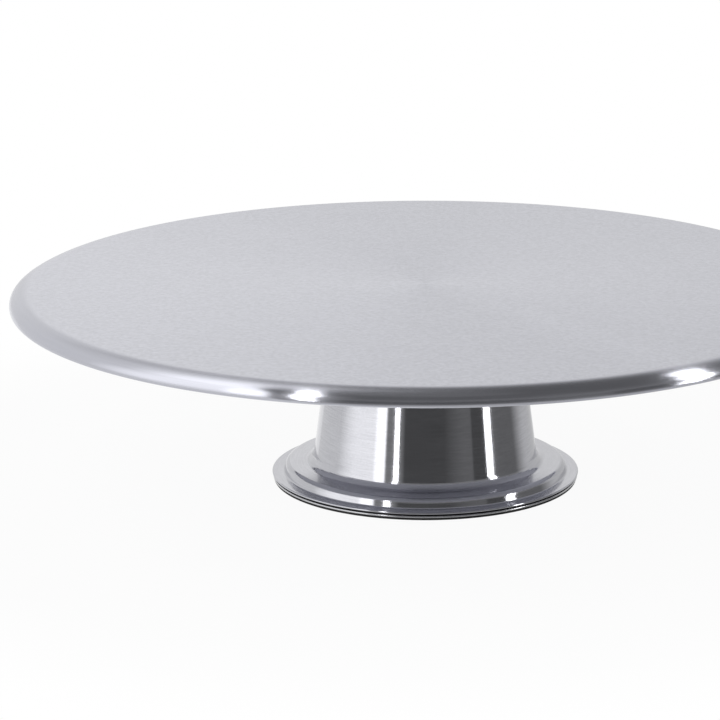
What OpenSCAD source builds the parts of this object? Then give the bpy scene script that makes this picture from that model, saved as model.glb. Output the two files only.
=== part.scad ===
// Cake turntable. A spun steel plate and its pedestal turn together on a ball race, over a low base disc.
// Millimetres, +Z up. The origin is on the table, on the turning axis.

/* [Plate] */
// Outside diameter over the rolled rim
plate_d = 310; // [240:1:360]
// Sheet thickness of the plate
plate_t = 1; // [0.8:0.1:1.5]
// Height of the plate's top face above the table
stand_h = 75; // [60:1:110]
// Inside bend radius of the plate's ease, where its flat face starts to fall towards the rim
rim_ease_bend = 9; // [6:0.5:14]
// Slope of the plate at the end of its ease
rim_ease_angle = 35; // [25:1:45]
// Straight slope between the ease and the rim's shoulder
rim_slope_len = 0.1; // [0.1:0.1:2]
// Inside bend radius of the rim's shoulder
rim_shoulder_bend = 2.3; // [1.5:0.1:4]
// Straight wall between the rim's shoulder and its curl
rim_wall_h = 0.1; // [0.1:0.1:4]
// Inside bend radius of the curl under the rim
rim_curl_bend = 0.4; // [0.3:0.1:1.2]
// Straight end of the curl, back up behind the rim
rim_curl_leg = 0.6; // [0.2:0.1:2]

/* [Pedestal] */
// Outside diameter of the cone at the plate
cone_top_d = 67.2; // [62:0.2:76]
// Outside diameter of the cone where its line meets the tier
cone_foot_d = 84.8; // [80:0.2:90]
// Sheet thickness of the pedestal
pedestal_t = 0.7; // [0.6:0.1:1.2]
// Inside bend radius at the top of the cone
cone_top_bend = 1.2; // [0.6:0.1:3]
// Radius of the fillet between the cone and the tier
cone_foot_fillet = 3.4; // [2:0.1:5]
// Diameter of the tier at its edge
tier_d = 105.2; // [102:0.2:110]
// Fall of the tier from the cone to its edge
tier_fall = 0.4; // [0.1:0.1:2]
// Inside bend radius of the tier's edge
tier_edge_bend = 1.5; // [0.8:0.1:2.8]
// Height of the tier's edge above the flange
tier_rise = 3.6; // [3.4:0.1:5]
// Run of the step between the tier's edge and the flange
step_run = 0.8; // [0.4:0.1:2]
// Radius of the fillet at the foot of the step
step_fillet = 0.6; // [0.4:0.1:0.9]
// Outside diameter of the flange
flange_d = 115.8; // [112:0.2:130]

/* [Base] */
// Distance of the base disc's edge inside the flange's edge
base_inset = 0.3; // [0:0.1:2]
// Sheet thickness of the base disc
base_t = 0.7; // [0.6:0.1:1.5]
// Diameter of the base disc's raised centre
boss_d = 38; // [36:0.5:44]
// Run of the sloping wall round the raised centre
boss_run = 2.4; // [2:0.1:3]
// Inside bend radius of the base disc
base_bend = 0.8; // [0.4:0.1:1]
// Running gap between the flange and the base disc
running_gap = 0.7; // [0.4:0.1:1.5]
// Distance of the anti-slip ring's edge inside the base disc's edge
pad_inset = 0.4; // [0.4:0.1:3]
// Radial width of the anti-slip ring
pad_w = 14; // [12:0.5:18]
// Thickness of the anti-slip ring
pad_t = 0.9; // [0.8:0.1:3]
// Number of grip grooves under the anti-slip ring
groove_n = 4; // [1:1:6]
// Width of one grip groove
groove_w = 0.8; // [0.4:0.1:1.2]
// Depth of one grip groove
groove_h = 0.35; // [0.2:0.05:0.6]

/* [Ball race] */
// Diameter of the balls' circle
race_pitch_d = 62; // [60:0.5:66]
// Radial width of a race
race_w = 10; // [9:0.5:11]
// Thickness of a race
race_t = 1.6; // [1.4:0.1:2.4]
// Depth of the ball track in a race
track_depth = 0.8; // [0.4:0.1:1]
// Track radius beyond the ball's own
track_ease = 0.1; // [0.05:0.05:0.4]
// Ball diameter
ball_d = 4; // [3.5:0.5:5]
// Number of balls
ball_n = 24; // [12:1:30]
// Play between a ball and its track
ball_play = 0.05; // [0.02:0.01:0.1]
// Radial width of the ball cage
cage_w = 6.4; // [5.6:0.1:8]
// Thickness of the ball cage
cage_t = 1.4; // [1:0.1:2]
// Play between a ball and its pocket
pocket_play = 0.12; // [0.05:0.01:0.3]
// Number of rivets in each race
rivet_n = 4; // [3:1:8]
// Shank diameter of a rivet
rivet_d = 2; // [1.5:0.1:2.2]
// Head diameter of a rivet
rivet_head_d = 3.6; // [3:0.1:4.4]
// Head height of a rivet
rivet_head_h = 0.5; // [0.3:0.05:0.6]

/* [Carrier plate] */
// Sheet thickness of the carrier plate
carrier_t = 1.2; // [0.8:0.1:1.6]
// Inside bend radius of the carrier plate
carrier_bend = 0.8; // [0.4:0.1:1]
// Diameter of the carrier plate's raised centre
dome_d = 36; // [30:0.5:38]
// Run of the sloping wall round the raised centre
dome_run = 3; // [2:0.1:4]
// Width of the carrier plate's rim under the tier
carrier_seat_w = 6; // [4:0.1:7]

/* [Pivot] */
// Diameter of the kingpin
pin_d = 8; // [6:0.5:8.5]
// Width across the flats of the kingpin's head and nuts
pin_af = 13; // [13:0.5:15]
// Height of the kingpin's head
pin_head_h = 3; // [2:0.1:5]
// Height of the kingpin's head above the table
pin_head_ground = 1.1; // [0.8:0.1:3]
// Height of the jam nut on the base disc
jam_nut_h = 4; // [3:0.1:6]
// Height of the lock nut, without its collar
lock_nut_h = 5.6; // [4:0.1:8]
// Height of the lock nut's collar
lock_collar_h = 2.4; // [1:0.1:4]
// Length of the kingpin above the lock nut
pin_end = 2; // [0.5:0.1:6]
// Wall of the pivot bush
bush_wall = 2; // [1:0.1:2.4]
// Length of the pivot bush below the carrier plate
bush_drop = 2; // [0.5:0.1:5]
// Flange diameter of the pivot bush
bush_flange_d = 18; // [16:0.5:22]
// Flange thickness of the pivot bush
bush_flange_t = 1.5; // [1:0.1:3]
// Outside diameter of the washers on the kingpin
pin_washer_d = 16; // [14:0.5:18]
// Thickness of the thrust washer
thrust_t = 1; // [0.5:0.1:2]
// Thickness of the steel washer
pin_washer_t = 1.6; // [1:0.1:2]
// Sheet thickness of the disc spring
spring_t = 0.7; // [0.5:0.1:1]
// Free cone height of the disc spring
spring_cone_h = 0.5; // [0.3:0.1:0.8]

/* [Plate studs] */
// Number of studs
stud_n = 4; // [3:1:8]
// Diameter of the studs' circle
stud_circle_d = 40; // [34:0.5:44]
// Thread diameter of a stud
stud_d = 5; // [4:0.5:6]
// Weld flange diameter of a stud
stud_flange_d = 6.5; // [6.5:0.1:8]
// Length of a stud beyond its nut
stud_end = 1.5; // [0.5:0.1:4]
// Width across the flats of a stud nut
stud_nut_af = 8; // [8:0.5:10]
// Height of a stud nut
stud_nut_h = 4; // [3:0.1:5]
// Outside diameter of a stud washer
stud_washer_d = 10; // [9:0.5:12]
// Thickness of a stud washer
stud_washer_t = 1; // [0.6:0.1:2]
// Thickness of a lock washer
lock_washer_t = 1.2; // [0.8:0.1:2]

/* [Fits] */
// Radial clearance of the bush on the kingpin
pivot_play = 0.05; // [0.02:0.01:0.1]
// Clearance between turning and standing faces at the pivot
pivot_gap = 0.2; // [0.1:0.05:0.5]
// Clearance between the bush and the jam nut
bush_gap = 0.6; // [0.3:0.1:2]
// Radial clearance of a fastener in its hole
hole_play = 0.1; // [0.05:0.05:0.3]
// Clearance between a stud's weld flange and its washer
stud_flange_gap = 0.1; // [0.05:0.05:0.3]
// Clearance between seated curved faces
seat_gap = 0.05; // [0.02:0.01:0.1]

/* [Hidden] */
$fn = 96;
ROUND = 48;
HEX = 6;
EPS = 0.01;
// A rounding laps its flats by this share of its radius, so the two always meet
BITE = 0.0005;
// Radius of a sheet's rounded edge as a share of its thickness
EDGE = 0.45;

// Radii
plate_r = plate_d / 2;
cone_top_r = cone_top_d / 2;
cone_foot_r = cone_foot_d / 2;
tier_r = tier_d / 2;
flange_r = flange_d / 2;
base_r = flange_r - base_inset;
pad_r = base_r - pad_inset;
boss_r = boss_d / 2;
dome_r = dome_d / 2;
ball_r = ball_d / 2;
pin_r = pin_d / 2;
stud_r = stud_d / 2;
rivet_r = rivet_d / 2;
stud_circle_r = stud_circle_d / 2;
pitch_r = race_pitch_d / 2;
race_in_r = pitch_r - race_w / 2;
race_out_r = pitch_r + race_w / 2;
track_r = ball_r + track_ease;
pin_hole_r = pin_r + hole_play;
bush_bore_r = pin_r + pivot_play;
bush_r = bush_bore_r + bush_wall;
stud_hole_r = stud_flange_d / 2 + hole_play;
stud_flange_t = pedestal_t - stud_flange_gap;
rivet_hole_r = rivet_r + hole_play;

// The rivets stand midway between the ball track and the race's outer edge.
track_half_w = sqrt(track_r * track_r - pow(track_r - track_depth - ball_play / 2, 2));
rivet_circle_r = (pitch_r + track_half_w + race_out_r) / 2;

// Heights, from the table up to the plate
base_z = pad_t;
base_top_z = base_z + base_t;
flange_z = base_top_z + running_gap;
flange_top_z = flange_z + pedestal_t;
tier_z = flange_top_z + tier_rise;
cone_foot_z = tier_z + tier_fall;
plate_z = stand_h - plate_t;

// Heights of the ball race
lower_race_top_z = base_top_z + race_t;
ball_z = lower_race_top_z - track_depth + ball_play + ball_r;
upper_race_z = 2 * ball_z - lower_race_top_z;
carrier_z = upper_race_z + race_t;
carrier_top_z = carrier_z + carrier_t;

// Heights along the kingpin
boss_z = pin_head_ground + pin_head_h;
boss_top_z = boss_z + base_t;
bush_z = boss_top_z + jam_nut_h + bush_gap;
dome_z = bush_z + bush_drop;
dome_top_z = dome_z + carrier_t;
thrust_z = dome_top_z + bush_flange_t + pivot_gap;
spring_z = thrust_z + thrust_t;
pin_washer_z = spring_z + spring_t + spring_cone_h;
lock_nut_z = pin_washer_z + pin_washer_t;
pin_top_z = lock_nut_z + lock_nut_h + lock_collar_h + pin_end;

// Heights down a plate stud
stud_washer_z = plate_z - pedestal_t - stud_washer_t;
lock_washer_z = stud_washer_z - lock_washer_t;
stud_nut_z = lock_washer_z - stud_nut_h;
stud_z = stud_nut_z - stud_end;

// The tier's top line, and the line of the carrier plate's top face seated below it
tier_dir = unit([tier_r - cone_foot_r, tier_z - cone_foot_z]);
tier_below = (pedestal_t + seat_gap) * [tier_dir[1], -tier_dir[0]];
seat_end_r = tier_r - pedestal_t - tier_edge_bend;
function seat_point(r) =
    let (along = (r - cone_foot_r - tier_below[0]) / tier_dir[0])
    [cone_foot_r, cone_foot_z] + tier_below + along * tier_dir;

// Plane geometry of bent sheet. A path follows the sheet's first face, and the sheet lies to its right.
function unit(v) = v / norm(v);
function right_of(d) = [d[1], -d[0]];
function direction(a, b) = unit(b - a);
function bend_angle(a, b, c) = acos(max(-1, min(1, direction(a, b) * direction(b, c))));
function turns_left(a, b, c) = cross(b - a, c - b) > 0;
function reversed(p) = [for (i = [len(p) - 1 : -1 : 0]) p[i]];
// The point of the second face that faces the path's point i
function second_face(p, i, t) =
    let (last = len(p) - 1)
    let (n_in = right_of(i == 0 ? direction(p[0], p[1]) : direction(p[i - 1], p[i])))
    let (n_out = right_of(i == last ? direction(p[last - 1], p[last]) : direction(p[i], p[i + 1])))
    p[i] + t / (1 + n_in * n_out) * (n_in + n_out);

// What lies beyond a circle about the origin, within a wedge from +X whose far sides are a reach away
module beyond_circle(r, reach, turn) {
    half = turn / 2;
    wedge = [[0, 0], [reach, 0], reach / cos(half) * [cos(half), sin(half)], reach * [cos(turn), sin(turn)]];
    difference() {
        polygon(turn > 0 ? wedge : reversed(wedge));
        circle(r = r * (1 + BITE));
    }
}

// Moves its children to the centre of the bend at b, with +X towards the start of the bend
module at_bend(a, b, c, bend, t) {
    left = turns_left(a, b, c);
    r = left ? bend : bend + t;
    start = b - r * tan(bend_angle(a, b, c) / 2) * direction(a, b);
    spoke = (left ? 1 : -1) * right_of(direction(a, b));
    translate(start - r * spoke)
        rotate(atan2(spoke[1], spoke[0]))
            children();
}

// Section of a sheet of thickness t along the path p, with a bend at each corner and its end edges rounded
module sheet_section(p, bends, t, edge_r = 0) {
    last = len(p) - 1;
    q = [for (i = [0 : last]) second_face(p, i, t)];
    turn = [for (i = [0 : last]) i == 0 || i == last ? 0
            : (turns_left(p[i - 1], p[i], p[i + 1]) ? 1 : -1) * bend_angle(p[i - 1], p[i], p[i + 1])];
    difference() {
        union() {
            polygon(concat(q, reversed(p)));
            for (i = [1 : 1 : last - 1])
                at_bend(p[i - 1], p[i], p[i + 1], bends[i], t)
                    beyond_circle(bends[i], bends[i] + t / 2, turn[i]);
        }
        for (i = [1 : 1 : last - 1])
            at_bend(p[i - 1], p[i], p[i + 1], bends[i], t)
                beyond_circle(bends[i] + t, bends[i] + 1.5 * t, turn[i]);
        if (edge_r > 0) {
            at_bend(p[last - 1], p[last], q[last], edge_r - t, t)
                beyond_circle(edge_r, edge_r + t, -90);
            at_bend(p[last], q[last], q[last - 1], edge_r - t, t)
                beyond_circle(edge_r, edge_r + t, -90);
        }
    }
}

// A washer, collar or ring with a plain bore
module ring(r_in, r_out, z, h) {
    translate([0, 0, z])
        rotate_extrude()
            translate([r_in, 0])
                square([r_out - r_in, h]);
}

// A hexagon of the given width across its flats, with its corners chamfered at the ends that are asked for
module hex_prism(af, z, h, chamfer_top = true, chamfer_bottom = true) {
    corner_r = af / 2 / cos(180 / HEX);
    cut = (corner_r - af / 2) * tan(30);
    intersection() {
        translate([0, 0, z])
            cylinder(r = corner_r, h = h, $fn = HEX);
        rotate_extrude()
            polygon([[0, z], [chamfer_bottom ? af / 2 : corner_r, z],
                     [corner_r, z + (chamfer_bottom ? cut : 0)], [corner_r, z + h - (chamfer_top ? cut : 0)],
                     [chamfer_top ? af / 2 : corner_r, z + h], [0, z + h]]);
    }
}

// A hexagon nut with a plain bore
module hex_nut(af, bore_r, z, h, chamfer_top = true, chamfer_bottom = true) {
    difference() {
        hex_prism(af, z, h, chamfer_top, chamfer_bottom);
        translate([0, 0, z - EPS])
            cylinder(r = bore_r, h = h + 2 * EPS);
    }
}

// A pin with a chamfered end at the top or at the bottom
module pin(r, z0, z1, chamfer, at_top = true) {
    rotate_extrude()
        polygon(at_top ? [[0, z0], [r, z0], [r, z1 - chamfer], [r - chamfer, z1], [0, z1]]
                       : [[0, z0], [r - chamfer, z0], [r, z0 + chamfer], [r, z1], [0, z1]]);
}

module round_the_studs() {
    for (i = [0 : stud_n - 1])
        rotate(360 / stud_n * (i + 0.5))
            translate([stud_circle_r, 0, 0])
                children();
}

module round_the_rivets() {
    for (i = [0 : rivet_n - 1])
        rotate(360 / rivet_n * i)
            translate([rivet_circle_r, 0, 0])
                children();
}

module round_the_balls() {
    for (i = [0 : ball_n - 1])
        rotate(360 / ball_n * i)
            translate([pitch_r, 0, 0])
                children();
}

// Spun plate: a flat face that eases into a rounded shoulder, and a curl rolled in under the rim
module top_plate() {
    ease_r = rim_ease_bend + plate_t;
    shoulder_r = rim_shoulder_bend + plate_t;
    curl_r = rim_curl_bend + plate_t;
    shoulder_run = shoulder_r * tan((90 - rim_ease_angle) / 2);
    slope = ease_r * tan(rim_ease_angle / 2) + rim_slope_len + shoulder_run;
    shoulder_z = stand_h - slope * sin(rim_ease_angle);
    curl_z = shoulder_z - shoulder_run - rim_wall_h;
    path = [[0, stand_h], [plate_r - slope * cos(rim_ease_angle), stand_h],
            [plate_r, shoulder_z], [plate_r, curl_z - curl_r],
            [plate_r - 2 * curl_r, curl_z - curl_r], [plate_r - 2 * curl_r, curl_z + rim_curl_leg]];
    color("lightgray")
        rotate_extrude()
            sheet_section(path, [0, rim_ease_bend, rim_shoulder_bend, rim_curl_bend, rim_curl_bend, 0],
                          plate_t);
}

// Studs welded to the underside of the plate, each on its own flange
module plate_studs() {
    chamfer = stud_d / 10;
    color("silver")
        round_the_studs() {
            pin(stud_r, stud_z, plate_z, chamfer, at_top = false);
            translate([0, 0, plate_z - stud_flange_t])
                cylinder(d = stud_flange_d, h = stud_flange_t);
        }
}

// Spun pedestal: a closed top, a cone, a tier with a rounded edge and a flat flange
module pedestal() {
    path = [[0, plate_z], [cone_top_r, plate_z], [cone_foot_r, cone_foot_z], [tier_r, tier_z],
            [tier_r + step_run, flange_top_z], [flange_r, flange_top_z]];
    bends = [0, cone_top_bend, cone_foot_fillet, tier_edge_bend, step_fillet, 0];
    color("gainsboro")
        difference() {
            rotate_extrude()
                sheet_section(path, bends, pedestal_t, pedestal_t * EDGE);
            round_the_studs()
                translate([0, 0, plate_z - pedestal_t - EPS])
                    cylinder(r = stud_hole_r, h = pedestal_t + 2 * EPS);
        }
}

module stud_washers() {
    color("silver")
        round_the_studs()
            ring(stud_r + hole_play, stud_washer_d / 2, stud_washer_z, stud_washer_t);
}

// Spring washers, each with a slanting split
module stud_lock_washers() {
    split_w = stud_d / 8;
    split_lean = 25;
    outer_r = stud_nut_af / 2;
    color("gray")
        round_the_studs()
            difference() {
                ring(stud_r + hole_play, outer_r, lock_washer_z, lock_washer_t);
                translate([outer_r / 2, 0, lock_washer_z + lock_washer_t / 2])
                    rotate([split_lean, 0, 0])
                        cube([outer_r + EPS, split_w, 3 * lock_washer_t], center = true);
            }
}

module stud_nuts() {
    color("silver")
        round_the_studs()
            hex_nut(stud_nut_af, stud_r + seat_gap, stud_nut_z, stud_nut_h);
}

// Pressed plate that carries the pedestal under its tier, the upper race and the pivot bush
module carrier_plate() {
    path = [[bush_r + seat_gap, dome_top_z], [dome_r, dome_top_z], [dome_r + dome_run, carrier_top_z],
            [race_out_r + carrier_t, carrier_top_z], seat_point(seat_end_r - carrier_seat_w), seat_point(seat_end_r)];
    color("darkgray")
        difference() {
            rotate_extrude()
                sheet_section(path, [0, carrier_bend, carrier_bend, carrier_bend, carrier_bend, 0], carrier_t);
            round_the_rivets()
                translate([0, 0, carrier_z - EPS])
                    cylinder(r = rivet_hole_r, h = carrier_t + 2 * EPS);
        }
}

// A ring with a ball track in its upper face and holes for its rivets, standing on z
module race(z) {
    difference() {
        rotate_extrude()
            difference() {
                translate([race_in_r, z])
                    square([race_w, race_t]);
                translate([pitch_r, z + race_t - track_depth + track_r])
                    circle(r = track_r, $fn = ROUND);
            }
        round_the_rivets()
            translate([0, 0, z - EPS])
                cylinder(r = rivet_hole_r, h = race_t + 2 * EPS);
    }
}

// The same ring upside down, hanging from z
module race_under(z) {
    translate([0, 0, z])
        mirror([0, 0, 1])
            race(0);
}

module lower_race() {
    color("dimgray") race(base_top_z);
}

module upper_race() {
    color("dimgray") race_under(carrier_z);
}

// A rivet through a sheet and a race: its head lies at z, and up is 1 or -1
module rivet(z, grip, up) {
    translate([0, 0, z])
        mirror([0, 0, up > 0 ? 0 : 1]) {
            translate([0, 0, -rivet_head_h])
                cylinder(d = rivet_head_d, h = rivet_head_h);
            translate([0, 0, -rivet_head_h])
                cylinder(r = rivet_r, h = rivet_head_h + grip);
        }
}

module lower_race_rivets() {
    color("silver")
        round_the_rivets()
            rivet(base_z, base_t + race_t, 1);
}

module upper_race_rivets() {
    color("silver")
        round_the_rivets()
            rivet(carrier_top_z, carrier_t + race_t, -1);
}

// Flanged plain bush in the middle of the carrier plate
module pivot_bush() {
    color("ivory")
        rotate_extrude()
            polygon([[bush_bore_r, bush_z], [bush_r, bush_z], [bush_r, dome_top_z],
                     [bush_flange_d / 2, dome_top_z], [bush_flange_d / 2, dome_top_z + bush_flange_t],
                     [bush_bore_r, dome_top_z + bush_flange_t]]);
}

// Flat cage that keeps the balls apart
module ball_cage() {
    color("ivory")
        difference() {
            ring(pitch_r - cage_w / 2, pitch_r + cage_w / 2, ball_z - cage_t / 2, cage_t);
            round_the_balls()
                translate([0, 0, ball_z - cage_t])
                    cylinder(r = ball_r + pocket_play, h = 2 * cage_t, $fn = ROUND);
        }
}

module bearing_balls() {
    color("whitesmoke")
        round_the_balls()
            translate([0, 0, ball_z])
                sphere(r = ball_r, $fn = ROUND);
}

// Pressed base disc with a raised centre over the kingpin's head
module base_disc() {
    path = [[pin_hole_r, boss_top_z], [boss_r, boss_top_z], [boss_r + boss_run, base_top_z], [base_r, base_top_z]];
    color("gainsboro")
        difference() {
            rotate_extrude()
                sheet_section(path, [0, base_bend, base_bend, 0], base_t, base_t * EDGE);
            round_the_rivets()
                translate([0, 0, base_z - EPS])
                    cylinder(r = rivet_hole_r, h = base_t + 2 * EPS);
        }
}

// Rubber ring under the base disc, with round grip grooves in its foot
module anti_slip_ring() {
    pitch = pad_w / (groove_n + 1);
    color("black")
        rotate_extrude()
            difference() {
                translate([pad_r - pad_w, 0])
                    square([pad_w, pad_t]);
                for (i = [1 : groove_n])
                    translate([pad_r - i * pitch - groove_w / 2, -EPS])
                        square([groove_w, groove_h + EPS]);
            }
}

// Low-headed bolt that stands in the base disc and holds the turning half down
module kingpin() {
    color("silver") {
        hex_prism(pin_af, pin_head_ground, pin_head_h, chamfer_top = false);
        pin(pin_r, pin_head_ground, pin_top_z, pin_d / 10);
    }
}

module kingpin_jam_nut() {
    color("silver") hex_nut(pin_af, pin_r + seat_gap, boss_top_z, jam_nut_h);
}

module thrust_washer() {
    color("ivory") ring(pin_hole_r, pin_washer_d / 2, thrust_z, thrust_t);
}

// Conical spring washer that takes up the play under the lock nut
module disc_spring() {
    color("dimgray")
        rotate_extrude()
            polygon([[pin_hole_r, spring_z + spring_cone_h], [pin_washer_d / 2, spring_z],
                     [pin_washer_d / 2, spring_z + spring_t], [pin_hole_r, spring_z + spring_cone_h + spring_t]]);
}

module kingpin_washer() {
    color("silver") ring(pin_hole_r, pin_washer_d / 2, pin_washer_z, pin_washer_t);
}

// Lock nut with a round collar that grips the thread
module kingpin_lock_nut() {
    collar_r = pin_af / 2 - pin_d / 20;
    color("silver") {
        hex_nut(pin_af, pin_r + seat_gap, lock_nut_z, lock_nut_h, chamfer_top = false);
        ring(pin_r + seat_gap, collar_r, lock_nut_z + lock_nut_h, lock_collar_h);
    }
}

top_plate();
plate_studs();
pedestal();
stud_washers();
stud_lock_washers();
stud_nuts();
carrier_plate();
upper_race();
upper_race_rivets();
pivot_bush();
ball_cage();
bearing_balls();
base_disc();
anti_slip_ring();
lower_race();
lower_race_rivets();
kingpin();
kingpin_jam_nut();
thrust_washer();
disc_spring();
kingpin_washer();
kingpin_lock_nut();
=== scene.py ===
"""A cake turntable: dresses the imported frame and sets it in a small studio.

Lengths are in metres, +Z is up, and the origin is on the table, on the turning axis.
"""

import logging
import math
from dataclasses import dataclass
from enum import Enum
from typing import Mapping, Optional, Sequence, Union

import bpy
import numpy as np
from numpy.typing import NDArray
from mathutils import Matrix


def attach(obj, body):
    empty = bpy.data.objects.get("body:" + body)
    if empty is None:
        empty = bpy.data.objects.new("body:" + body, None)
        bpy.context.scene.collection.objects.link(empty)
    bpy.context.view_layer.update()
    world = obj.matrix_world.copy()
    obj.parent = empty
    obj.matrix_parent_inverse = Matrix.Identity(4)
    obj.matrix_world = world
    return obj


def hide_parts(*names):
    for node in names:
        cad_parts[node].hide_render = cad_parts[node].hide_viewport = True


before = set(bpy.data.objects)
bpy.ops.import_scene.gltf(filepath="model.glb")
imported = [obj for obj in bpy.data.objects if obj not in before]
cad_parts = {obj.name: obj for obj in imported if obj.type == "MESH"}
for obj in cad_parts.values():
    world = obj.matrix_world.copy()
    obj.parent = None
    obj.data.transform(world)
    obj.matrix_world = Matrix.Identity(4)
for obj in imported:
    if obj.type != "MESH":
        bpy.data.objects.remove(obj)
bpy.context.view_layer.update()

MM = 0.001
DEGREES = 180.0 / math.pi
SAME_POINT = 1e-9  # points of an outline that lie this close are one
WELD = 0.0001 * MM  # and so are points of a mesh
STRAIGHT_GUARD = 0.08 * MM
LOG = logging.getLogger("turntable")

Points = NDArray[np.float64]
Faces = NDArray[np.int64]
Colour = tuple[float, float, float]
Setting = Union[str, float, int, bool]


class Slot(Enum):
    """The record's material slots."""

    PLATE = "plate_steel"
    PEDESTAL = "pedestal_steel"
    BASE = "base_steel"
    CARRIER = "carrier_steel"
    FASTENER = "fastener_steel"
    SPRING = "spring_steel"
    BEARING = "bearing_steel"
    PLASTIC = "bearing_plastic"
    RUBBER = "pad_rubber"


class Body(Enum):
    """The bodies that pieces ride on."""

    BASE = "base"
    TURNTABLE = "turntable"


# ---------------------------------------------------------------------------
# Node graphs
# ---------------------------------------------------------------------------


class Graph:
    """A node tree that is filled by expressions."""

    def __init__(self, tree: bpy.types.NodeTree) -> None:
        """Empties the tree.

        Args:
            tree: The node tree of a material or of the world.
        """
        self.tree = tree
        tree.nodes.clear()

    def node(
        self,
        kind: str,
        settings: Optional[Mapping[str, Setting]] = None,
        inputs: Optional[Mapping[Union[str, int], object]] = None,
    ) -> bpy.types.Node:
        """Adds one node.

        Args:
            kind: The node's type.
            settings: Its own properties, which are set first.
            inputs: What its sockets get, by name or number: a value, a Value or a socket.

        Returns:
            The new node.
        """
        made = self.tree.nodes.new(kind)
        for name, value in (settings or {}).items():
            setattr(made, name, value)
        for key, value in (inputs or {}).items():
            if isinstance(value, Value):
                self.tree.links.new(value.socket, made.inputs[key])
            elif isinstance(value, bpy.types.NodeSocket):
                self.tree.links.new(value, made.inputs[key])
            else:
                made.inputs[key].default_value = value
        return made

    def value(self, kind: str, **parts: Mapping) -> "Value":
        """Adds one node and wraps its first output.

        Args:
            kind: The node's type.
            **parts: The settings and inputs that node() takes.

        Returns:
            The wrapped output.
        """
        return Value(self, self.node(kind, **parts).outputs[0])

    def split(self, vector: bpy.types.NodeSocket) -> tuple["Value", "Value", "Value"]:
        """Returns the three numbers of a vector socket."""
        parts = self.node("ShaderNodeSeparateXYZ", inputs={0: vector})
        return tuple(Value(self, part) for part in parts.outputs)

    def place(self) -> tuple["Value", "Value", "Value"]:
        """Returns x, y and z in the piece's own frame."""
        return self.split(self.node("ShaderNodeTexCoord").outputs["Object"])

    def noise(self, x: object, y: object, z: object, detail: float) -> "Value":
        """Returns smooth noise, about 0 to 1, at a point whose cells are one unit wide."""
        at = self.node("ShaderNodeCombineXYZ", inputs={0: x, 1: y, 2: z}).outputs[0]
        return self.value("ShaderNodeTexNoise", inputs={"Vector": at, "Scale": 1.0, "Detail": detail})

    def cells(self, place: Sequence["Value"], size: float, detail: float) -> "Value":
        """Returns smooth noise whose cells have the same size in all directions."""
        return self.noise(*(part / size for part in place), detail)

    def blend(self, factor: "Value", low: Colour, high: Colour) -> bpy.types.NodeSocket:
        """Mixes two colours.

        Args:
            factor: The share of the second colour, from 0 to 1.
            low: The first colour.
            high: The second colour.

        Returns:
            The mixed colour's socket.
        """
        mixed = self.node("ShaderNodeMix", {"data_type": "RGBA"}, {"Factor": factor})
        colours = [socket for socket in mixed.inputs if socket.type == "RGBA"]
        colours[0].default_value, colours[1].default_value = (*low, 1.0), (*high, 1.0)
        return next(socket for socket in mixed.outputs if socket.type == "RGBA")

    def bump(self, height: "Value", distance: float, strength: float) -> bpy.types.NodeSocket:
        """Returns the normal of a surface that rises by distance where the height is 1."""
        inputs = {"Height": height, "Distance": distance, "Strength": strength}
        return self.node("ShaderNodeBump", inputs=inputs).outputs["Normal"]


class Value:
    """A number socket under Python's operators."""

    def __init__(self, graph: Graph, socket: bpy.types.NodeSocket) -> None:
        """Wraps a socket of a graph."""
        self.graph, self.socket = graph, socket

    def _math(self, operation: str, *numbers: object) -> "Value":
        """Adds one Math node.

        Args:
            operation: What the node does.
            *numbers: The numbers that it gets, in order.

        Returns:
            The result.
        """
        return self.graph.value(
            "ShaderNodeMath", settings={"operation": operation}, inputs=dict(enumerate(numbers))
        )

    def __add__(self, other: object) -> "Value":
        """Returns the sum."""
        return self._math("ADD", self, other)

    def __sub__(self, other: object) -> "Value":
        """Returns the difference."""
        return self._math("SUBTRACT", self, other)

    def __rsub__(self, other: object) -> "Value":
        """Returns the difference from another number."""
        return self._math("SUBTRACT", other, self)

    def __mul__(self, other: object) -> "Value":
        """Returns the product."""
        return self._math("MULTIPLY", self, other)

    def __truediv__(self, other: object) -> "Value":
        """Returns the quotient."""
        return self._math("DIVIDE", self, other)

    __radd__ = __add__
    __rmul__ = __mul__

    def hypot(self, other: "Value") -> "Value":
        """Returns the length of the two numbers taken as a vector."""
        return self._math("SQRT", self * self + other * other)

    def most(self, other: object) -> "Value":
        """Returns the larger number."""
        return self._math("MAXIMUM", self, other)

    def least(self, other: object) -> "Value":
        """Returns the smaller number."""
        return self._math("MINIMUM", self, other)

    def tangent(self) -> "Value":
        """Returns the tangent of an angle in degrees."""
        return self._math("TANGENT", self * (math.pi / 180.0))

    def arc_sine(self) -> "Value":
        """Returns the angle in degrees that has this sine."""
        return self._math("ARCSINE", self) * DEGREES

    def arc_tangent(self, other: "Value") -> "Value":
        """Returns the angle in degrees whose tangent is this number over another."""
        return self._math("ARCTAN2", self, other) * DEGREES

    def wrapped(self, low: float, high: float) -> "Value":
        """Returns the number brought into a range by whole turns."""
        return self._math("WRAP", self, high, low)

    def step(self, low: float, high: float) -> "Value":
        """Makes a smooth step.

        Args:
            low: The number up to which the step is 0.
            high: The number from which the step is 1.

        Returns:
            The step, from 0 to 1.
        """
        return self.graph.value(
            "ShaderNodeMapRange",
            settings={"interpolation_type": "SMOOTHSTEP"},
            inputs={"Value": self, "From Min": low, "From Max": high},
        )


# ---------------------------------------------------------------------------
# Finishes
# ---------------------------------------------------------------------------


def new_material(name: str) -> tuple[bpy.types.Material, Graph]:
    """Makes an empty material.

    Args:
        name: The material's name.

    Returns:
        The material and its graph.
    """
    material = bpy.data.materials.new(name)
    material.use_nodes = True
    return material, Graph(material.node_tree)


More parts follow.
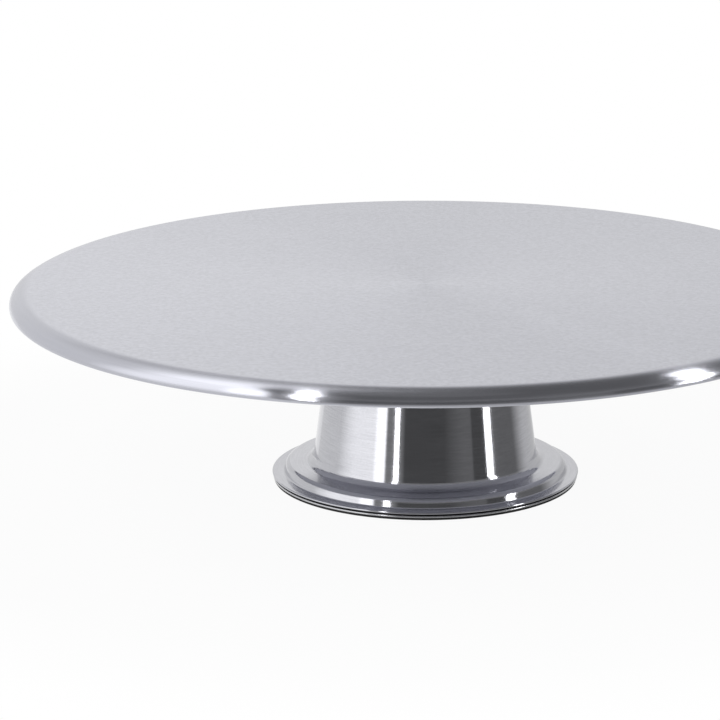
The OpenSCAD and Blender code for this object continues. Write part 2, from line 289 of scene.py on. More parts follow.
def tinted(colour: Colour, share: float) -> Colour:
    """Returns a colour times a share."""
    return tuple(part * share for part in colour)


def surface(graph: Graph, inputs: Mapping[str, object]) -> None:
    """Ends a graph in one principled surface.

    Args:
        graph: The material's graph.
        inputs: What the surface's sockets get.
    """
    shader = graph.node("ShaderNodeBsdfPrincipled", inputs=inputs)
    graph.node("ShaderNodeOutputMaterial", inputs={"Surface": shader.outputs[0]})


@dataclass(frozen=True)
class TurnedSteel:
    """Sheet steel spun on a lathe, with brush lines round the turning axis and a fine grain.

    A line lies where r - z is constant, which runs once along any section that falls as it widens. Lines,
    rings and bands are noise along that measure, from narrow to wide, and change slowly round the axis.
    The rim is evener than the rest, and the hidden side rougher.
    """

    slot: Slot
    colour: Colour
    roughness: float
    anisotropy: float
    line_pitch: float = 0.35 * MM
    line_depth: float = 0.002 * MM
    line_share: float = 0.69
    line_contrast: float = 0.08
    line_roughness: float = 0.05
    band_pitch: float = 6 * MM
    band_roughness: float = 0.03
    ring_pitch: float = 1.4 * MM
    ring_depth: float = 0.0
    grain_pitch: float = 0.9 * MM
    grain_share: float = 0.2
    tone_range: tuple[float, float] = (0.25, 0.75)
    rim_from: float = 1.0
    rim_run: float = 4 * MM
    rim_roughness: float = 0.2
    rim_evenness: float = 0.5
    hidden_below: float = -1.0
    hidden_run: float = 0.1 * MM
    hidden_roughness: float = 0.4
    axis_gap: float = 0.01 * MM
    brush_turn: float = 0.25

    def material(self) -> bpy.types.Material:
        """Makes the finish.

        Returns:
            The material.
        """
        material, graph = new_material(self.slot.value)
        x, y, z = graph.place()
        r = x.hypot(y).most(self.axis_gap)
        along = r - z

        def strokes(pitch: float, spread: float, detail: float) -> Value:
            """Returns noise along the section, read round a circle that is spread cells in radius."""
            return graph.noise(along / pitch, x / r * spread, y / r * spread, detail)

        lines = strokes(self.line_pitch, spread=5.0, detail=3.0)
        bands = strokes(self.band_pitch, spread=1.2, detail=1.0)
        rings = strokes(self.ring_pitch, spread=0.8, detail=1.0)
        grain = graph.cells((x, y, z), self.grain_pitch, detail=1.0)
        height = lines * (self.line_depth / MM) + rings * (self.ring_depth / MM)
        rim = r.step(self.rim_from, self.rim_from + self.rim_run)
        brushed = lines * self.line_share + bands * (1.0 - self.line_share)
        tone = brushed + (grain - brushed) * (1.0 - rim) * self.grain_share
        tone = tone.step(*self.tone_range)
        tone = tone + (1.0 - tone) * rim * self.rim_evenness
        under = (self.hidden_below - z).step(0.0, self.hidden_run) * (1.0 - rim)
        rough = self.roughness + (self.rim_roughness - self.roughness) * rim
        rough = rough + (self.hidden_roughness - self.roughness) * under
        rough = rough + (lines - 0.5) * self.line_roughness + (bands - 0.5) * self.band_roughness
        surface(graph, {
            "Base Color": graph.blend(tone, tinted(self.colour, 1.0 - self.line_contrast), self.colour),
            "Metallic": 1.0,
            "Roughness": rough,
            "Anisotropic": self.anisotropy,
            "Anisotropic Rotation": self.brush_turn,
            "Normal": graph.bump(height, MM, 1.0),
        })
        return material


@dataclass(frozen=True)
class PlainSteel:
    """Pressed, plated or ground steel: a mottled tone, with fine scratches along Y."""

    slot: Slot
    colour: Colour
    roughness: float
    mottle: float = 2.5 * MM
    contrast: float = 0.2
    mottle_roughness: float = 0.2
    scratch: float = 0.15 * MM
    scratch_length: float = 2.1 * MM
    scratch_share: float = 0.3
    scratch_roughness: float = 0.1
    depth: float = 0.003 * MM
    bump: float = 0.4
    tone_range: tuple[float, float] = (0.3, 0.7)

    def material(self) -> bpy.types.Material:
        """Makes the finish.

        Returns:
            The material.
        """
        material, graph = new_material(self.slot.value)
        x, y, z = graph.place()
        clouds = graph.cells((x, y, z), self.mottle, detail=4.0)
        fine = graph.noise(x / self.scratch, y / self.scratch_length, z / self.scratch, detail=2.0)
        tone = (clouds * (1.0 - self.scratch_share) + fine * self.scratch_share).step(*self.tone_range)
        rough = self.roughness + (clouds - 0.5) * self.mottle_roughness
        rough = rough + (fine - 0.5) * self.scratch_roughness
        surface(graph, {
            "Base Color": graph.blend(tone, tinted(self.colour, 1.0 - self.contrast), self.colour),
            "Metallic": 1.0,
            "Roughness": rough,
            "Normal": graph.bump(fine, self.depth, self.bump),
        })
        return material


@dataclass(frozen=True)
class Moulded:
    """Plastic or rubber: a moulded skin with a fine texture and a slight bloom."""

    slot: Slot
    colour: Colour
    bloom: Colour
    roughness: float
    texture: float = 0.25 * MM
    texture_share: float = 0.2
    depth: float = 0.01 * MM
    bump: float = 0.5
    cloud: float = 7 * MM
    cloud_roughness: float = 0.15
    tone_range: tuple[float, float] = (0.3, 0.75)

    def material(self) -> bpy.types.Material:
        """Makes the finish.

        Returns:
            The material.
        """
        material, graph = new_material(self.slot.value)
        place = graph.place()
        clouds = graph.cells(place, self.cloud, detail=4.0)
        skin = graph.cells(place, self.texture, detail=2.0)
        tone = (clouds * (1.0 - self.texture_share) + skin * self.texture_share).step(*self.tone_range)
        surface(graph, {
            "Base Color": graph.blend(tone, self.colour, self.bloom),
            "Roughness": self.roughness + (clouds - 0.5) * self.cloud_roughness,
            "Normal": graph.bump(skin, self.depth, self.bump),
        })
        return material


# ---------------------------------------------------------------------------
# Turned meshes
# ---------------------------------------------------------------------------


def rounded(corners: Points, radii: Points, steps: int = 10) -> Points:
    """Rounds the corners of a closed outline.

    Each corner gives way to the arc of its radius that touches both sides: the arc starts
    radius * tan(turn / 2) before the corner, and its centre lies a radius to the inner side.

    Args:
        corners: The corners in order, as (r, z).
        radii: One radius for each corner, 0 for a sharp one.
        steps: Points on each arc.

    Returns:
        The outline's points, without repeats.
    """
    ahead = np.roll(corners, -1, 0) - corners
    ahead /= np.linalg.norm(ahead, axis=1, keepdims=True)
    came = np.roll(ahead, 1, 0)
    turn = np.arctan2(came[:, 0] * ahead[:, 1] - came[:, 1] * ahead[:, 0], (came * ahead).sum(1))
    side = np.sign(turn)[:, None] * np.stack([-came[:, 1], came[:, 0]], 1)
    start = corners - (radii * np.tan(np.abs(turn) / 2))[:, None] * came
    centre = start + radii[:, None] * side
    angle = turn[:, None] * np.linspace(0, 1, steps)
    spoke = -side
    cos, sin = np.cos(angle), np.sin(angle)
    swung = np.stack([spoke[:, :1] * cos - spoke[:, 1:] * sin, spoke[:, :1] * sin + spoke[:, 1:] * cos], 2)
    points = (centre[:, None] + radii[:, None, None] * swung).reshape(-1, 2)
    return points[np.linalg.norm(points - np.roll(points, 1, 0), axis=1) > SAME_POINT]


def guarded(outline: Points, guard: float) -> Points:
    """Adds a point near both ends of each straight, so that smooth shading keeps it straight.

    A straight of up to four guards stays as it is.

    Args:
        outline: The closed outline's points.
        guard: How far from its ends a straight gets its points.

    Returns:
        The outline with those points.
    """
    ahead = np.roll(outline, -1, 0) - outline
    length = np.linalg.norm(ahead, axis=1)
    step = ahead / length[:, None] * guard
    triples = np.stack([outline, outline + step, np.roll(outline, -1, 0) - step], 1)
    long = length > 4 * guard
    keep = np.stack([np.full(len(outline), True), long, long], 1)
    return triples[keep]


@dataclass(frozen=True)
class Sheet:
    """The section of a bent sheet, as the part's source draws it.

    The path follows the first face, the sheet lies to its right, and each corner has an inside bend radius.
    """

    path: tuple[tuple[float, float], ...]
    bends: tuple[float, ...]
    thickness: float
    edge: float = 0.0

    def outline(self) -> Points:
        """Draws the closed outline, out along the first face and back along the second.

        A corner of the second face is the path's corner moved by t / (1 + n . m) * (n + m), where n and m are
        the normals before and after it. The face on the outside of a bend has the radius bend + t.

        Returns:
            The outline's points, as (r, z).
        """
        path = np.array(self.path)
        along = np.diff(path, axis=0)
        along /= np.linalg.norm(along, axis=1, keepdims=True)
        normal = np.stack([along[:, 1], -along[:, 0]], 1)
        before, after = np.vstack([normal[:1], normal]), np.vstack([normal, normal[-1:]])
        dot = (before * after).sum(1, keepdims=True)
        second = path + self.thickness / (1 + dot) * (before + after)
        left = before[:, 0] * after[:, 1] - before[:, 1] * after[:, 0] > 0
        bends = np.array(self.bends)
        first_r, second_r = bends + ~left * self.thickness, bends + left * self.thickness
        first_r[0] = second_r[0] = 0.0
        first_r[-1] = second_r[-1] = self.edge
        return rounded(np.vstack([path, second[::-1]]), np.concatenate([first_r, second_r[::-1]]))


@dataclass(frozen=True)
class Holes:
    """Round holes on a circle, straight through a flat span of a turned sheet."""

    count: int
    circle: float
    radius: float
    first: float
    low: float
    high: float
    room: float = 1.5 * MM

    def span(self) -> tuple[float, float]:
        """Returns the radii of the band that the holes lie in."""
        reach = self.radius + self.room
        return self.circle - reach, self.circle + reach

    def loops(self, angles: Points) -> tuple[Points, Points]:
        """Finds each hole's surroundings.

        Args:
            angles: The angles of the turned surface's points, a whole number of them between two holes.

        Returns:
            The corners of the band round each hole, and the hole's own points, one on the ray from the hole's
            centre through each corner. Both are (hole, point, 2).
        """
        inner, outer = self.span()
        sector = len(angles) // self.count
        arc = np.arange(sector + 1) - sector // 2
        middle = self.first + 2 * np.pi / self.count * np.arange(self.count)[:, None]
        theta = middle + 2 * np.pi / len(angles) * arc
        ring = np.stack([np.cos(theta), np.sin(theta)], 2)
        around = np.concatenate([ring * outer, ring[:, ::-1] * inner], 1)
        centre = self.circle * np.stack([np.cos(middle), np.sin(middle)], 2)
        ray = around - centre
        hole = centre + self.radius * ray / np.linalg.norm(ray, axis=2, keepdims=True)
        return around, hole


def with_spans(outline: Points, holes: Holes) -> Points:
    """Adds the ends of the holes' band to the two straights of an outline that the holes pierce.

    Args:
        outline: The closed outline's points.
        holes: The holes.

    Returns:
        The outline with four more points, each in its place along its straight.
    """
    for level in (holes.high, holes.low):
        for radius in holes.span():
            following = np.roll(outline, -1, 0)
            level_run = np.isclose(outline[:, 1], level) & np.isclose(following[:, 1], level)
            within = (outline[:, 0] - radius) * (following[:, 0] - radius) < 0
            at = int(np.flatnonzero(level_run & within)[0])
            outline = np.insert(outline, at + 1, (radius, level), 0)
    return outline


def turned(
    outline: Points, segments: int, holes: Optional[Holes] = None, closed: bool = True
) -> tuple[Points, Faces]:
    """Turns an outline about Z: (r, z) becomes (r cos a, r sin a, z) for each angle a.

    Args:
        outline: The outline's points, in the order that puts the material on their right.
        segments: Angles in a turn.
        holes: Holes through two level straights of the outline.
        closed: Whether the last point joins the first.

    Returns:
        The points, and faces of four that may repeat a point.
    """
    angles = 2 * np.pi / segments * np.arange(segments)
    rows = len(outline)
    radius, height = outline[:, :1], outline[:, 1:]
    points = np.stack(
        [radius * np.cos(angles), radius * np.sin(angles), np.broadcast_to(height, (rows, segments))], 2
    ).reshape(-1, 3)
    row, turn = np.meshgrid(np.arange(rows), np.arange(segments), indexing="ij")
    next_row, next_turn = (row + 1) % rows, (turn + 1) % segments
    faces = np.stack([row * segments + turn, next_row * segments + turn,
                      next_row * segments + next_turn, row * segments + next_turn], 2)
    faces = faces if closed else faces[:-1]
    if holes is None:
        return points, faces.reshape(-1, 4)

    following = np.roll(outline, -1, 0)
    span = np.sort(np.stack([outline[:, 0], following[:, 0]], 1), 1)
    pierced = np.isclose(span, holes.span()).all(1) & np.isclose(outline[:, 1], following[:, 1])
    around, hole = holes.loops(angles)
    count, corners, _ = around.shape

    def lifted(ring: Points, level: float) -> Points:
        """Returns a flat ring's points at a height."""
        return np.concatenate([ring, np.full((count, corners, 1), level)], 2)

    levels = ((around, holes.high), (hole, holes.high), (hole, holes.low), (around, holes.low))
    rings = [lifted(ring, level) for ring, level in levels]
    index = len(points) + np.arange(len(rings) * count * corners).reshape(len(rings), count, corners)
    onward = np.roll(index, -1, 2)
    bands = np.stack([index[:-1], onward[:-1], onward[1:], index[1:]], 3)
    points = np.vstack([points] + [ring.reshape(-1, 3) for ring in rings])
    return points, np.vstack([faces[~pierced].reshape(-1, 4), bands.reshape(-1, 4)])


def mesh_object(name: str, points: Points, faces: Faces, crease: float = 35.0) -> bpy.types.Object:
    """Makes an object of welded points.

    Points closer than a tenth of a micrometre become one, and faces lose what that repeats.

    Args:
        name: The object's name.
        points: The points.
        faces: Faces of four points.
        crease: The angle in degrees past which an edge stays sharp.

    Returns:
        The object, at the origin and in the scene.
    """
    cells = np.round(points / WELD)
    _, first, where = np.unique(cells, axis=0, return_index=True, return_inverse=True)
    faces = where.reshape(-1)[faces]
    new = faces != np.roll(faces, 1, 1)
    whole = new.sum(1) > 2
    faces, new = faces[whole], new[whole]
    mesh = bpy.data.meshes.new(name)
    mesh.vertices.add(len(first))
    mesh.vertices.foreach_set("co", points[first].astype(np.float32).ravel())
    mesh.loops.add(int(new.sum()))
    mesh.loops.foreach_set("vertex_index", faces[new].astype(np.int32))
    mesh.polygons.add(len(faces))
    starts = np.concatenate([[0], np.cumsum(new.sum(1))[:-1]])
    mesh.polygons.foreach_set("loop_start", starts.astype(np.int32))
    mesh.polygons.foreach_set("use_smooth", np.ones(len(faces), bool))
    mesh.update(calc_edges=True)
    mesh.validate()
    mesh.set_sharp_from_angle(angle=math.radians(crease))
    made = bpy.data.objects.new(name, mesh)
    bpy.context.scene.collection.objects.link(made)
    return made


def finish_piece(
    piece: bpy.types.Object, finish: Union[TurnedSteel, Moulded], body: Body, nodes: Sequence[str]
) -> bpy.types.Object:
    """Dresses a new piece and puts it on its body in place of some nodes.

    Args:
        piece: The new piece.
        finish: Its finish.
        body: The body that it rides on.
        nodes: The nodes that it stands for.

    Returns:
        The piece.
    """
    piece.data.materials.append(finish.material())
    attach(piece, body.value)
    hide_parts(*nodes)
    return piece


# ---------------------------------------------------------------------------
# The object
# ---------------------------------------------------------------------------


@dataclass(frozen=True)
class TopPlate:
    """The spun plate: a flat face that eases into a rounded shoulder, and a curl rolled in under the rim."""

    radius: float = 155 * MM
    height: float = 75 * MM
    thickness: float = 1 * MM
    ease_bend: float = 9 * MM
    ease_angle: float = math.radians(35)
    slope_len: float = 0.1 * MM
    shoulder_bend: float = 2.3 * MM
    wall: float = 0.1 * MM
    curl_bend: float = 0.4 * MM
    curl_leg: float = 0.6 * MM
    rim_from: float = 147 * MM
    segments: int = 384

    def build(self) -> bpy.types.Object:
        """Makes the plate, in place of its node.

        Returns:
            The piece.
        """
        curl_r = self.curl_bend + self.thickness
        shoulder_run = (self.shoulder_bend + self.thickness) * math.tan(math.pi / 4 - self.ease_angle / 2)
        ease_run = (self.ease_bend + self.thickness) * math.tan(self.ease_angle / 2)
        slope = ease_run + self.slope_len + shoulder_run
        ease_r = self.radius - slope * math.cos(self.ease_angle)
        shoulder_z = self.height - slope * math.sin(self.ease_angle)
        curl_z = shoulder_z - shoulder_run - self.wall
        inner_r = self.radius - 2 * curl_r
        sheet = Sheet(
            path=((0.0, self.height), (ease_r, self.height), (self.radius, shoulder_z),
                  (self.radius, curl_z - curl_r), (inner_r, curl_z - curl_r),
                  (inner_r, curl_z + self.curl_leg)),
            bends=(0.0, self.ease_bend, self.shoulder_bend, self.curl_bend, self.curl_bend, 0.0),
            thickness=self.thickness,
        )
        outline = guarded(sheet.outline(), STRAIGHT_GUARD)
        piece = mesh_object("plate_shell", *turned(outline, self.segments))
        finish = TurnedSteel(
            Slot.PLATE, (0.619, 0.626, 0.689), roughness=0.125, anisotropy=1.0,
            line_contrast=0.15, grain_pitch=1.4 * MM, grain_share=0.7,
            rim_from=self.rim_from, hidden_below=self.height - self.thickness / 2,
        )
        return finish_piece(piece, finish, Body.TURNTABLE, ["top_plate"])


@dataclass(frozen=True)
class Pedestal:
    """The spun pedestal: a closed top, a cone, a tier with a rounded edge and a flat flange."""

    top: float = 74 * MM
    thickness: float = 0.7 * MM
    cone_top_r: float = 33.6 * MM
    cone_foot_r: float = 42.4 * MM
    cone_foot_z: float = 7 * MM
    tier_r: float = 52.6 * MM
    tier_z: float = 6.6 * MM
    step_r: float = 53.4 * MM
    flange_r: float = 57.9 * MM
    flange_z: float = 3 * MM
    cone_top_bend: float = 1.2 * MM
    cone_foot_fillet: float = 3.4 * MM
    tier_edge_bend: float = 1.5 * MM
    step_fillet: float = 0.6 * MM
    edge_share: float = 0.45
    stud_count: int = 4
    stud_circle: float = 20 * MM
    stud_hole: float = 3.35 * MM
    segments: int = 256

    def build(self) -> bpy.types.Object:
        """Makes the pedestal, in place of its node.

        Returns:
            The piece.
        """
        sheet = Sheet(
            path=((0.0, self.top), (self.cone_top_r, self.top), (self.cone_foot_r, self.cone_foot_z),
                  (self.tier_r, self.tier_z), (self.step_r, self.flange_z), (self.flange_r, self.flange_z)),
            bends=(0.0, self.cone_top_bend, self.cone_foot_fillet,
                   self.tier_edge_bend, self.step_fillet, 0.0),
            thickness=self.thickness,
            edge=self.thickness * self.edge_share,
        )
        holes = Holes(self.stud_count, self.stud_circle, self.stud_hole, np.pi / self.stud_count,
                      self.top - self.thickness, self.top)
        outline = with_spans(guarded(sheet.outline(), STRAIGHT_GUARD), holes)
        piece = mesh_object("pedestal_shell", *turned(outline, self.segments, holes))
        finish = TurnedSteel(
            Slot.PEDESTAL, (0.625, 0.628, 0.666), roughness=0.12, anisotropy=0.9,
            line_pitch=0.45 * MM, line_depth=0.006 * MM, line_contrast=0.18, band_pitch=9 * MM,
            ring_depth=0.02 * MM,
        )
        return finish_piece(piece, finish, Body.TURNTABLE, ["pedestal"])


@dataclass(frozen=True)
class BaseDisc:
    """The pressed disc that stays on the table, with a raised centre over the kingpin's head."""

    bore: float = 4.1 * MM
    thickness: float = 0.7 * MM
    boss_r: float = 19 * MM
    boss_run: float = 2.4 * MM
    boss_z: float = 4.8 * MM
    radius: float = 57.6 * MM
    top: float = 1.6 * MM
    bend: float = 0.8 * MM
    edge_share: float = 0.45
    rivet_count: int = 4
    rivet_circle: float = 34.3 * MM
    rivet_hole: float = 1.1 * MM
    segments: int = 256

    def build(self) -> bpy.types.Object:
        """Makes the disc, in place of its node.

        Returns:
            The piece.
        """
        sheet = Sheet(
            path=((self.bore, self.boss_z), (self.boss_r, self.boss_z),
                  (self.boss_r + self.boss_run, self.top), (self.radius, self.top)),
            bends=(0.0, self.bend, self.bend, 0.0),
            thickness=self.thickness,
            edge=self.thickness * self.edge_share,
        )
        holes = Holes(self.rivet_count, self.rivet_circle, self.rivet_hole, 0.0,
                      self.top - self.thickness, self.top)
        outline = with_spans(guarded(sheet.outline(), STRAIGHT_GUARD), holes)
        piece = mesh_object("base_disc_shell", *turned(outline, self.segments, holes))
        finish = TurnedSteel(
            Slot.BASE, (0.62, 0.622, 0.64), roughness=0.26, anisotropy=0.7, line_pitch=0.5 * MM,
        )
        return finish_piece(piece, finish, Body.BASE, ["base_disc"])


@dataclass(frozen=True)
class GripRing:
    """The rubber ring under the base disc, with round grooves in its foot."""

    radius: float = 57.2 * MM
    width: float = 14 * MM
    thickness: float = 0.9 * MM
    groove_count: int = 4
    groove_width: float = 0.8 * MM
    groove_depth: float = 0.35 * MM
    edge: float = 0.1 * MM
    edge_steps: int = 4
    guard: float = 0.05 * MM
    segments: int = 256

    def build(self) -> bpy.types.Object:
        """Makes the ring, in place of its node.

        Returns:
            The piece.
        """
        inner = self.radius - self.width
        pitch = self.width / (self.groove_count + 1)
        middle = inner + pitch * np.arange(1, self.groove_count + 1)[:, None]
        walls = middle + self.groove_width / 2 * np.array([-1, -1, 1, 1])
        levels = np.broadcast_to(self.groove_depth * np.array([0, 1, 1, 0]), walls.shape)
        grooves = np.stack([walls, levels], 2).reshape(-1, 2)[::-1]
        upper = [(inner, self.thickness), (self.radius, self.thickness), (self.radius, 0.0)]
        corners = np.vstack([upper, grooves, [(inner, 0.0)]])
        radii = np.full(len(corners), self.edge)
        radii[:2] = 0.0
        outline = guarded(rounded(corners, radii, self.edge_steps), self.guard)
        piece = mesh_object("rubber_ring", *turned(outline, self.segments))
        finish = Moulded(Slot.RUBBER, (0.01, 0.01, 0.011), (0.02, 0.02, 0.021), roughness=0.8)
        return finish_piece(piece, finish, Body.BASE, ["anti_slip_ring"])


@dataclass(frozen=True)
class Hardware:
    """The fasteners, the ball race and the pivot, which keep the shapes of their nodes."""

    fasteners: tuple[str, ...] = (
        "plate_studs", "stud_washers", "stud_nuts", "upper_race_rivets", "lower_race_rivets",
        "kingpin", "kingpin_jam_nut", "kingpin_washer", "kingpin_lock_nut",
    )
    springs: tuple[str, ...] = ("stud_lock_washers", "disc_spring")
    carriers: tuple[str, ...] = ("carrier_plate",)
    bearings: tuple[str, ...] = ("upper_race", "lower_race", "bearing_balls")
    plastics: tuple[str, ...] = ("pivot_bush", "ball_cage", "thrust_washer")

    def dress(self) -> None:
        """Gives each node the finish of its slot."""
        finishes = (
            (self.fasteners, PlainSteel(Slot.FASTENER, (0.66, 0.67, 0.69), roughness=0.3)),
            (self.springs, PlainSteel(Slot.SPRING, (0.22, 0.22, 0.23), roughness=0.35, contrast=0.35)),
            (self.carriers, PlainSteel(Slot.CARRIER, (0.56, 0.56, 0.57), roughness=0.38, mottle=8 * MM)),
            (self.bearings, PlainSteel(Slot.BEARING, (0.72, 0.72, 0.73), roughness=0.14, contrast=0.08)),
            (self.plastics, Moulded(Slot.PLASTIC, (0.74, 0.72, 0.64), (0.84, 0.82, 0.75), roughness=0.48)),
        )
        for names, finish in finishes:
            material = finish.material()
            for name in names:
                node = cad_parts[name]
                node.data.materials.clear()
                node.data.materials.append(material)
                LOG.info("%s: %s", name, finish.slot.value)


# ---------------------------------------------------------------------------
# The studio
# ---------------------------------------------------------------------------


@dataclass(frozen=True)
class Panel:
    """A soft-edged card in the studio, by its direction from the object in degrees.

    Azimuth 0 is towards the camera, and positive is to its right. The card leans back
    by lean * tan(elevation)**2 degrees, with that tangent kept under steepest.
    """

    left: float
    right: float
    glow: float
    soft_left: float = 3.0
    soft_right: float = 3.0
    top: float = 60.0
    soft_top: float = 25.0
    foot: float = -100.0
    soft_foot: float = 8.0
    lean: float = 0.0
    steepest: float = 3.5

    def light(self, azimuth: Value, elevation: Value) -> Value:
        """Finds how brightly the card shows in a direction.

        Args:
            azimuth: The direction's azimuth in degrees.
            elevation: The direction's elevation in degrees.

        Returns:
            The glow there, 0 outside the card.
        """

        def past(measure: Value, edge: float, soft: float) -> Value:
            """Returns how far a measure has passed a soft edge, from 0 to 1."""
            return measure.step(edge - soft / 2, edge + soft / 2)

        half = (self.right - self.left) / 2
        slope = elevation.tangent().most(0.0).least(self.steepest)
        off = azimuth + slope * slope * self.lean - (self.left + self.right) / 2
        off = off.wrapped(-180.0, 180.0)
        from_left = past(off, -half, self.soft_left)
        from_right = past(off, half, self.soft_right)
        above = past(elevation, self.top, self.soft_top)
        raised = past(elevation, self.foot, self.soft_foot)
        return from_left * (1.0 - from_right) * (1.0 - above) * raised * self.glow


@dataclass(frozen=True)
class Lamp:
    """A strip softbox between two directions from the object, each an azimuth and an elevation in degrees.

    The directions start on the turning axis, at the height centre.
    """

    name: str
    low: tuple[float, float]
    high: tuple[float, float]
    glow: float
    width: float
    distance: float
    centre: float = 40 * MM

    def end(self, azimuth: float, elevation: float) -> Points:
        """Returns where the strip ends in a direction."""
        a, e = math.radians(azimuth), math.radians(elevation)
        return self.distance * np.array([math.sin(a) * math.cos(e), -math.cos(a) * math.cos(e), math.sin(e)])

    def build(self) -> None:
        """Hangs the strip so that it faces the object."""
        low, high = self.end(*self.low), self.end(*self.high)
        length = float(np.linalg.norm(high - low))
        along, middle = (high - low) / length, (low + high) / 2
        away = middle - along * (middle @ along)
        away = away / np.linalg.norm(away)
        light = bpy.data.lights.new(self.name, "AREA")
        light.shape, light.size, light.size_y = "RECTANGLE", self.width, length
        light.energy = self.glow * math.pi * self.width * length
        lamp = bpy.data.objects.new(self.name, light)
        turn = np.eye(4)
        turn[:3, :3] = np.column_stack([np.cross(along, away), along, away])
        turn[:3, 3] = middle + np.array([0.0, 0.0, self.centre])
        lamp.matrix_world = turn.T  # an array is read column by column
        lamp.visible_camera = False
        bpy.context.scene.collection.objects.link(lamp)
        LOG.info("%s: lamp", self.name)


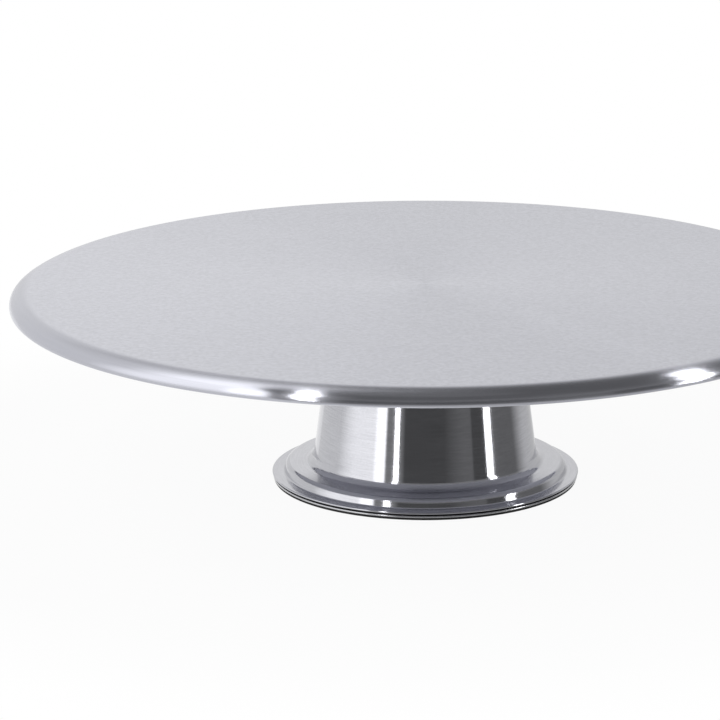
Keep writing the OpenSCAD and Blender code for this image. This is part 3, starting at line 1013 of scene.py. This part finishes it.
@dataclass(frozen=True)
class Studio:
    """The table, the pale background, the lamps and the camera."""

    table_r: float = 0.3
    table_hole: float = 55 * MM
    table_segments: int = 96
    table_white: float = 0.9
    fade_from: float = 0.19
    fade_to: float = 0.285
    shadow_share: float = 0.06
    dark: float = 0.085
    ceiling: float = 0.14
    ceiling_rise: tuple[float, float] = (5.0, 35.0)
    floor: float = 0.6
    floor_fall: float = 50.0
    panels: tuple[Panel, ...] = (
        # The back wall, white in the middle, with both its ends.
        Panel(150.0, 198.0, 1.0, soft_left=110.0, soft_right=24.0, top=38.0, soft_top=26.0),
        Panel(-172.0, -110.0, 0.8, soft_left=16.0, soft_right=30.0, top=38.0, soft_top=26.0),
        Panel(-176.0, -143.0, 0.98, soft_left=6.0, soft_right=8.0, top=-2.0, soft_top=8.0),
        Panel(112.0, 200.0, 0.62, soft_left=38.0, top=38.0, soft_top=26.0),
        # The large softbox on the left, brighter towards the front and towards its top.
        Panel(-152.0, -41.5, 0.82, soft_left=24.0, top=64.0, soft_top=14.0, lean=10.0),
        Panel(-105.0, -41.5, 1.4, soft_left=60.0, top=64.0, soft_top=12.0, foot=-10.0, lean=10.0),
        Panel(-57.0, -41.5, 2.0, soft_left=14.0, top=50.0, soft_top=20.0, foot=-10.0, lean=10.0),
        Panel(
            -121.0, -41.5, 1.7, soft_left=20.0, top=67.0, soft_top=6.0, foot=44.0, soft_foot=24.0, lean=10.0,
        ),
        # Dim cards in front and on the right, a low one round the front, and the ceiling.
        Panel(-45.0, -22.0, 0.25, soft_right=8.0),
        Panel(20.0, 51.0, 0.17, soft_left=50.0),
        Panel(74.0, 140.0, 0.17),
        Panel(-60.0, 125.0, 0.28, soft_left=30.0, soft_right=30.0, top=32.0, soft_top=16.0, foot=15.0),
        Panel(-200.0, 200.0, 0.21, top=200.0, foot=73.0, soft_foot=14.0),
    )
    lamps: tuple[Lamp, ...] = (
        Lamp("lamp_left", (-28.8, -8.0), (-35.8, 49.1), glow=7.0, width=0.11, distance=1.6),
        Lamp("lamp_left_high", (-35.8, 49.1), (-97.0, 74.5), glow=7.0, width=0.08, distance=1.6),
        Lamp("lamp_right", (68.1, -8.0), (80.8, 38.4), glow=7.0, width=0.14, distance=1.2),
        Lamp("lamp_right_high", (80.8, 38.4), (129.3, 53.6), glow=8.0, width=0.075, distance=1.2),
    )
    camera_place: tuple[float, float, float] = (0.0, -1.22421, 0.36494)
    camera_turn: tuple[float, float, float] = (75.3666, 0.2824, 1.0727)
    camera_lens: float = 168.13
    camera_sensor: float = 36.0

    def build_table(self) -> None:
        """Lays the table, whose edge fades into the background for the camera."""
        span = np.array([(self.table_hole, 0.0), (self.table_r, 0.0)])
        table = mesh_object("table", *turned(span, self.table_segments, closed=False))
        material, graph = new_material("table_white")
        x, y, _ = graph.place()
        path = graph.node("ShaderNodeLightPath").outputs
        seen = Value(graph, path["Is Camera Ray"])
        edge = x.hypot(y).step(self.fade_from, self.fade_to)
        flat = graph.node("ShaderNodeBsdfDiffuse", inputs={"Color": (self.table_white,) * 3 + (1.0,)})
        glow = graph.node("ShaderNodeEmission", inputs={"Color": (1.0, 1.0, 1.0, 1.0)})
        share = seen * (1.0 - self.shadow_share * (1.0 - edge))
        mixed = graph.node("ShaderNodeMixShader", inputs={0: share, 1: flat.outputs[0], 2: glow.outputs[0]})
        below = graph.node("ShaderNodeNewGeometry").outputs["Backfacing"]
        clear = graph.node("ShaderNodeBsdfTransparent")
        mixed = graph.node("ShaderNodeMixShader", inputs={0: below, 1: mixed.outputs[0], 2: clear.outputs[0]})
        graph.node("ShaderNodeOutputMaterial", inputs={"Surface": mixed.outputs[0]})
        table.data.materials.append(material)
        table.visible_glossy = False
        LOG.info("table: stage")

    def build_world(self) -> None:
        """Fills the background: white for the camera, and a studio of cards for all other rays."""
        world = bpy.data.worlds.new("studio")
        bpy.context.scene.world = world
        world.use_nodes = True
        graph = Graph(world.node_tree)
        x, y, z = graph.split(graph.node("ShaderNodeTexCoord").outputs["Generated"])
        azimuth, elevation = x.arc_tangent(0.0 - y), z.arc_sine()
        path = graph.node("ShaderNodeLightPath").outputs
        seen = Value(graph, path["Is Camera Ray"])
        room = self.dark + (self.ceiling - self.dark) * elevation.step(*self.ceiling_rise)
        room = room.most((0.0 - elevation).step(0.0, self.floor_fall) * self.floor)
        for panel in self.panels:
            room = room.most(panel.light(azimuth, elevation))
        light = {"Color": (1.0, 1.0, 1.0, 1.0), "Strength": seen + (1.0 - seen) * room}
        back = graph.node("ShaderNodeBackground", inputs=light)
        graph.node("ShaderNodeOutputWorld", inputs={"Surface": back.outputs[0]})

    def build_camera(self) -> None:
        """Stands the camera where the photograph was taken from."""
        data = bpy.data.cameras.new("camera")
        data.sensor_width, data.sensor_fit, data.lens = self.camera_sensor, "HORIZONTAL", self.camera_lens
        camera = bpy.data.objects.new("camera", data)
        camera.location = self.camera_place
        camera.rotation_euler = [math.radians(turn) for turn in self.camera_turn]
        bpy.context.scene.collection.objects.link(camera)
        bpy.context.scene.camera = camera

    def build(self) -> None:
        """Sets up everything round the object."""
        bpy.context.scene.view_settings.view_transform = "Standard"
        self.build_camera()
        self.build_table()
        self.build_world()
        for lamp in self.lamps:
            lamp.build()


def main() -> None:
    """Builds the object and its studio."""
    logging.basicConfig(level=logging.INFO, format="%(name)s: %(message)s")
    Studio().build()
    for assembly in (TopPlate(), Pedestal(), BaseDisc(), GripRing()):
        piece = assembly.build()
        LOG.info("%s: %d faces", piece.name, len(piece.data.polygons))
    Hardware().dress()


if __name__ == "__main__":
    main()
